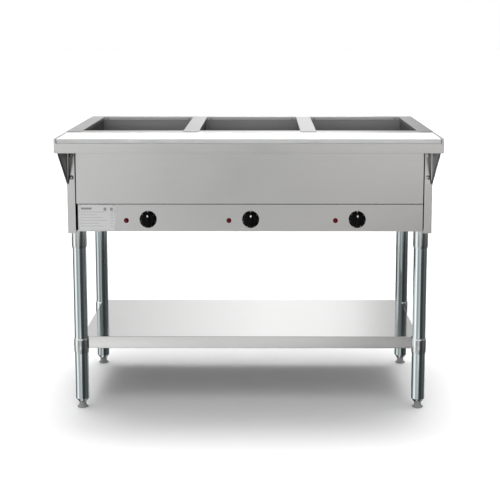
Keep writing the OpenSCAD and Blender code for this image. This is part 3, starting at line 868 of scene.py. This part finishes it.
def rounded_rectangle(low, high, corner, points=6):
    """(x, z) points round an upright rectangle with rounded corners."""
    outline = []
    centres = ((high.x - corner, high.z - corner), (low.x + corner, high.z - corner),
               (low.x + corner, low.z + corner), (high.x - corner, low.z + corner))
    for quarter, (x, z) in enumerate(centres):
        for i in range(points + 1):
            a = math.radians(90 * (quarter + i / points))
            outline.append((x + corner * math.cos(a), z + corner * math.sin(a)))
    return outline


def build_label():
    low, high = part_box("rating_label")
    outline = rounded_rectangle(low, high, 0.003)
    bm = loft([[(x, y, z) for x, z in outline] for y in (low.y, high.y)])
    piece("rating_label_foil", bm, "table", ruled_foil("label_foil", low, high), 0,
          ("rating_label",))


# ---- Parts that keep their CAD shape ----

def finish_cad_nodes(finishes):
    """Puts a finish on each CAD node that is still shown."""
    for prefix, material in finishes.items():
        for name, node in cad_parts.items():
            if name.startswith(prefix) and not node.hide_render:
                for holder in node.material_slots:
                    holder.material = material


# ---- Studio ----

class Sky(Shader):
    """The world's node tree, with the viewing direction split into bearing and height."""

    def __init__(self):
        self.world = bpy.data.worlds.new("studio")
        bpy.context.scene.world = self.world
        self.world.use_nodes = True
        self.tree = self.world.node_tree
        self.tree.nodes.clear()
        way = self.node("ShaderNodeTexCoord").outputs["Generated"]
        parts = self.node("ShaderNodeSeparateXYZ")
        self.feed(parts.inputs[0], way)
        self.x, self.y, self.up = parts.outputs
        # Bearing in turns: 0.5 straight to the front (-Y), more towards the right
        bearing = self.math("ARCTAN2", self.x, self.times(self.y, -1.0))
        self.bearing = self.math("MULTIPLY_ADD", bearing, 1 / math.tau, 0.5)

    def band(self, stops):
        """Brightness round the horizon from (bearing in degrees, level) pairs."""
        made = self.node("ShaderNodeValToRGB")
        made.color_ramp.interpolation = "LINEAR"
        ramp = made.color_ramp.elements
        while len(ramp) < len(stops):
            ramp.new(0.5)
        for element, (degrees, level) in zip(ramp, stops):
            element.position = degrees / 360 + 0.5
            element.color = (*level, 1) if isinstance(level, tuple) else grey(level)
        self.feed(made.inputs[0], self.bearing)
        return made.outputs["Color"]

    def lobe(self, tilt, tightness, level):
        """Soft light from overhead, tilted by some degrees towards the back (+Y)."""
        aim = self.plus(self.times(self.up, math.cos(math.radians(tilt))),
                        self.times(self.y, math.sin(math.radians(tilt))))
        return self.times(level, self.math(
            "POWER", self.math("MAXIMUM", aim, 0.0), tightness))


def card_rings(sky):
    """What shiny metal sees: tall cards and dark gaps, in rings from the floor upwards.

    Each ring is named after the stretch of the table that mirrors it in the front view.
    The three lowest rings end alike behind the table, and so do the two highest."""
    low_back_left = [(-180, 0.05), (-125, 0.05)]
    low_back_right = [(126, 0.40), (172, 0.40), (180, 0.05)]
    high_back_left = [(-180, 1.14), (-177, 1.0), (-172, 0.74), (-150, 0.75)]
    high_back_right = [(150, 0.42), (171.5, 0.50), (173.8, 0.62), (175, 0.85), (176.2, 1.12),
                       (180, 1.14)]
    foot = sky.band([
        *low_back_left, (-106, 0.50), (-90, 0.90), (-80, 1.5), (-64, 1.3), (-54, 0.62),
        (-20, 0.66), (1, 0.60), (8, 0.06), (50, 0.05), (64, 0.12), (96, 0.11), (112, 0.05),
        *low_back_right])
    shelf_edge = sky.band([
        *low_back_left, (-106, 0.50), (-90, 0.90), (-80, 1.5), (-62, 1.4), (-54, 0.52),
        (-20, 0.66), (-13, 1.45), (-8, 1.42), (-4, 1.00), (2, 0.81), (8, 0.66), (12, 0.06),
        (50, 0.05), (64, 0.14), (96, 0.14), (112, 0.04), *low_back_right])
    leg = sky.band([
        *low_back_left, (-108, 0.45), (-92, 0.90), (-82, 1.6), (-62, 1.5), (-52, 0.46),
        (-30, 0.46), (-20, 0.68), (2, 0.76), (9, 0.07), (50, 0.06), (62, 0.14), (90, 0.15),
        (110, 0.05), *low_back_right])
    panel = sky.band([
        (-180, 0.30), (-130, 0.30), (-112, 0.45), (-96, 0.90), (-80, 1.4), (-60, 1.3),
        (-46, 0.62), (-20, 1.00), (-8, 0.88), (-3, 0.52), (1, 0.50), (4, (0.78, 0.76, 0.74)),
        (12, (0.93, 0.90, 0.87)), (19, (0.95, 0.92, 0.90)), (24, 0.12), (60, 0.12), (82, 0.45),
        (100, 0.50), (110, 0.12), (128, 0.42), (180, 0.45)])
    deck = sky.band([
        *high_back_left, (-120, 1.4), (-100, 1.8), (-60, 1.4), (-20, 1.3), (20, 1.2), (40, 0.35),
        (130, 0.35), *high_back_right])
    undershelf = sky.band([
        *high_back_left, (-120, 0.6), (-98, 1.6), (-66, 1.5), (-54, 0.30), (0, 0.34), (10, 0.08),
        (50, 0.08), (90, 0.20), (130, 0.20), *high_back_right])
    ring = foot
    for begins, complete, above in (
            (-0.279, -0.271, shelf_edge), (-0.256, -0.248, leg), (-0.177, -0.170, panel),
            (-0.11, 0.06, deck), (0.12, 0.17, undershelf), (0.40, 0.85, grey(1.1))):
        ring = sky.mix(sky.remap(sky.up, begins, complete), ring, above)
    return ring


def build_world():
    """Pale studio: white to the camera, cards to shiny metal, soft overhead light to the rest."""
    sky = Sky()
    soft = sky.plus(sky.lobe(4, 30, 15.0), sky.lobe(-38, 12, 2.5))
    soft = sky.plus(soft, 0.32)
    path = sky.node("ShaderNodeLightPath").outputs
    light = sky.mix(path["Is Diffuse Ray"], card_rings(sky), soft)
    light = sky.mix(path["Is Camera Ray"], light, grey(1.0))
    back = sky.node("ShaderNodeBackground")
    sky.feed(back.inputs["Color"], light)
    out = sky.node("ShaderNodeOutputWorld")
    sky.feed(out.inputs["Surface"], back.outputs[0])
    sky.world.cycles.sampling_method = "NONE"


def build_floor():
    half = 40.0
    bm = bmesh.new()
    bmesh.ops.create_grid(bm, x_segments=4, y_segments=4, size=half)
    mesh = bpy.data.meshes.new("floor")
    bm.to_mesh(mesh)
    bm.free()
    mesh.materials.append(pale_floor("floor"))
    floor = bpy.data.objects.new("floor", mesh)
    bpy.context.scene.collection.objects.link(floor)
    floor.visible_glossy = False


def build_camera():
    """Long-lens view from straight ahead, above the deck and just right of the middle."""
    place = (0.0459, -3.942, 1.220)
    pitch, yaw = 8.64, 0.172
    data = bpy.data.cameras.new("camera")
    data.sensor_width = 36.0
    data.lens = 89.136
    data.shift_x, data.shift_y = -0.0221, -0.09
    data.clip_end = 200.0
    camera = bpy.data.objects.new("camera", data)
    camera.location = place
    camera.rotation_euler = (math.radians(90 - pitch), 0, math.radians(yaw))
    bpy.context.scene.collection.objects.link(camera)
    bpy.context.scene.camera = camera


def build_object():
    zinc = galvanised("galvanised_sheet", (0.50, 0.53, 0.53), 0.34)
    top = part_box("well_liner_middle")[1].z
    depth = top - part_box("well_liner_middle")[0].z
    liner = well_steel("well_sheet", top, depth)
    # The back legs' tubes are a darker copy of the front ones: painted shade.
    tubes = {"front": bright_tube("leg_zinc"), "back": bright_tube("leg_zinc_painted_shade", 0.72)}
    cast = cast_metal("cast_collar")
    nylon = moulded("foot_nylon", (0.27, 0.275, 0.275), 0.20, shine=0.9)
    phenolic = moulded("knob_phenolic", (0.0035, 0.0035, 0.0035), 0.32, 500, 0.00001, 0.07)
    paint = moulded("pad_print", (0.80, 0.80, 0.78), 0.5)
    polished = polished_steel("screw_steel")
    black = dark_oxide("black_oxide")

    build_sheet_metal(zinc)
    build_wells(liner)
    build_legs(tubes, cast, nylon)
    build_set_screws(black)
    build_screws(polished)
    build_lamps(red_lens("lamp_red"))
    build_knobs(phenolic, paint)
    build_board(board_plastic("board_polyethylene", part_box("cutting_board")[0].z))
    build_label()
    gland = moulded("gland_nylon", (0.022, 0.022, 0.022), 0.45, 700)
    formed("cord_gland", gland, radius=0.0005)
    finish_cad_nodes({
        "heating_element": dark_oxide("element_sheath", (0.10, 0.092, 0.088), 0.5),
        "element_supports": zinc,
        "well_insulation": mineral_wool("insulation_board"),
        "heat_switch": moulded("switch_phenolic", (0.06, 0.05, 0.045), 0.5),
        "terminal_block": moulded("terminal_ceramic", (0.74, 0.73, 0.68), 0.4),
        "wiring_harness": silicone_wire("wire_silicone"),
        "knob_shaft": polished,
    })


build_object()
build_world()
build_floor()
build_camera()
bpy.context.scene.view_settings.view_transform = "Standard"
